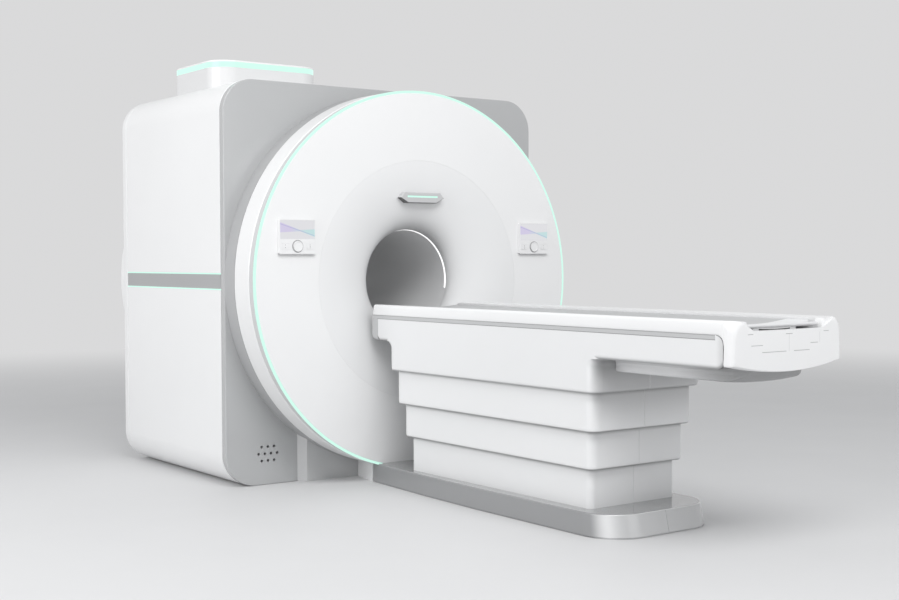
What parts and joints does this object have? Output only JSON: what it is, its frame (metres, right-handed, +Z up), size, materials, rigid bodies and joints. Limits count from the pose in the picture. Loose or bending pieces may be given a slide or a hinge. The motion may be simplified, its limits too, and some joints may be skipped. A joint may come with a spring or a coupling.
{
  "type": "mri scanner",
  "caption": "Whole-body medical imaging scanner with a ring-lit round front, a patient bore and a sliding, height-adjustable patient table.",
  "frame": {"origin": "on the floor, below the middle of the whole object's box", "axes": "+Z up, the bore and the table lie along Y with the table on the -Y side, +X to the right seen from the table"},
  "size_m": [2.22, 4.575, 2.472],
  "materials": {
    "cover_white": "smooth satin gelcoat",
    "frame_grey": "glossy lacquer",
    "band_grey": "satin",
    "trim_grey": "satin",
    "light_cyan": "frosted light guide",
    "light_white": "frosted light guide",
    "liner_grey": "satin",
    "screen": "glossy display glass",
    "control_white": "fine satin",
    "table_white": "satin gelcoat",
    "tray_grey": "satin",
    "plinth_grey": "satin",
    "bed_grey": "anodised",
    "cradle_grey": "fine matte laminate",
    "handle_metal": "satin",
    "vessel_metal": "painted shell",
    "coil_resin": "cast resin",
    "copper": "bare copper strip",
    "steel_dark": "powder coat",
    "column_metal": "anodised",
    "drive_dark": "satin",
    "speaker_dark": "matte",
    "belt_black": "matte"
  },
  "bodies": {
    "root": {"base_frame": "steel_dark", "magnet_vessel": "vessel_metal", "gradient_coil": "coil_resin", "body_coil": "copper", "bore_tube": "liner_grey", "cold_head": "column_metal", "turret_cover": "cover_white", "turret_light": "light_cyan", "turret_cap": "cover_white", "front_frame": "frame_grey", "rear_frame": "frame_grey", "upper_cover": "cover_white", "lower_cover_left": "cover_white", "lower_cover_right": "cover_white", "side_bands": "band_grey", "side_lights": "light_cyan", "neck_ring": "trim_grey", "front_rim": "cover_white", "rim_trim": "trim_grey", "ring_light": "light_cyan", "front_face": "cover_white", "bore_funnel": "liner_grey", "bore_light": "light_white", "visor": "trim_grey", "visor_light": "light_cyan", "panel_left": "cover_white", "panel_right": "cover_white", "screen_left": "screen", "screen_right": "screen", "speaker": "speaker_dark", "front_pedestal": "frame_grey", "pedestal_neck": "trim_grey", "rear_cover": "cover_white", "rear_funnel": "liner_grey", "bore_bridge": "tray_grey", "table_base": "steel_dark", "plinth": "plinth_grey", "tier_fixed": "table_white", "columns_outer": "column_metal"},
    "table": {"table_body": "table_white", "slide_bed": "bed_grey", "table_top": "table_white", "under_tray": "tray_grey", "lift_frame": "steel_dark", "columns_inner": "column_metal", "drive_motor": "drive_dark", "drive_belt": "belt_black"},
    "cradle": {"cradle": "cradle_grey", "cradle_handle": "handle_metal"},
    "tier_upper": {"tier_upper": "table_white"},
    "tier_lower": {"tier_lower": "table_white"},
    "column_middle": {"columns_middle": "column_metal"},
    "drive_pulley": {"drive_pulley": "drive_dark"},
    "idler_pulley": {"idler_pulley": "drive_dark"},
    "dial_left": {"dial_left": "control_white"},
    "dial_right": {"dial_right": "control_white"},
    "key_left_outer": {"key_left_outer": "control_white"},
    "key_left_inner": {"key_left_inner": "control_white"},
    "key_right_inner": {"key_right_inner": "control_white"},
    "key_right_outer": {"key_right_outer": "control_white"}
  },
  "joints": [
    {"name": "lift", "type": "slide", "parent": "root", "child": "table", "axis": [0, 0, 1], "range_m": [-0.4, 0]},
    {"name": "tier_upper_follow", "type": "slide", "parent": "root", "child": "tier_upper", "axis": [0, 0, 1], "range_m": [-0.267, 0]},
    {"name": "tier_lower_follow", "type": "slide", "parent": "root", "child": "tier_lower", "axis": [0, 0, 1], "range_m": [-0.1335, 0]},
    {"name": "column_middle_follow", "type": "slide", "parent": "root", "child": "column_middle", "axis": [0, 0, 1], "range_m": [-0.2, 0]},
    {"name": "cradle_travel", "type": "slide", "parent": "table", "child": "cradle", "axis": [0, 1, 0], "range_m": [0, 1.85]},
    {"name": "drive_pulley_spin", "type": "hinge", "parent": "table", "child": "drive_pulley", "pos_m": [0, -2.1325, 0.91], "axis": [-1, 0, 0], "range_deg": [0, 3790]},
    {"name": "idler_pulley_spin", "type": "hinge", "parent": "table", "child": "idler_pulley", "pos_m": [0, -0.1625, 0.91], "axis": [-1, 0, 0], "range_deg": [0, 3790]},
    {"name": "dial_left_turn", "type": "hinge", "parent": "root", "child": "dial_left", "pos_m": [-0.846, 0.4225, 1.368], "axis": [0, -1, 0], "continuous": true},
    {"name": "dial_right_turn", "type": "hinge", "parent": "root", "child": "dial_right", "pos_m": [0.846, 0.4225, 1.368], "axis": [0, -1, 0], "continuous": true},
    {"name": "key_left_outer_press", "type": "slide", "parent": "root", "child": "key_left_outer", "axis": [0, 1, 0], "range_m": [0, 0.0015], "stiffness_N_per_m": 600, "springref_m": -0.002},
    {"name": "key_left_inner_press", "type": "slide", "parent": "root", "child": "key_left_inner", "axis": [0, 1, 0], "range_m": [0, 0.0015], "stiffness_N_per_m": 600, "springref_m": -0.002},
    {"name": "key_right_inner_press", "type": "slide", "parent": "root", "child": "key_right_inner", "axis": [0, 1, 0], "range_m": [0, 0.0015], "stiffness_N_per_m": 600, "springref_m": -0.002},
    {"name": "key_right_outer_press", "type": "slide", "parent": "root", "child": "key_right_outer", "axis": [0, 1, 0], "range_m": [0, 0.0015], "stiffness_N_per_m": 600, "springref_m": -0.002}
  ],
  "couplings": [
    {"joint": "tier_upper_follow", "follows": "lift", "ratio": 0.6667},
    {"joint": "tier_lower_follow", "follows": "lift", "ratio": 0.3333},
    {"joint": "column_middle_follow", "follows": "lift", "ratio": 0.5},
    {"joint": "drive_pulley_spin", "follows": "cradle_travel", "rad_per_m": 35.714},
    {"joint": "idler_pulley_spin", "follows": "cradle_travel", "rad_per_m": 35.714}
  ]
}
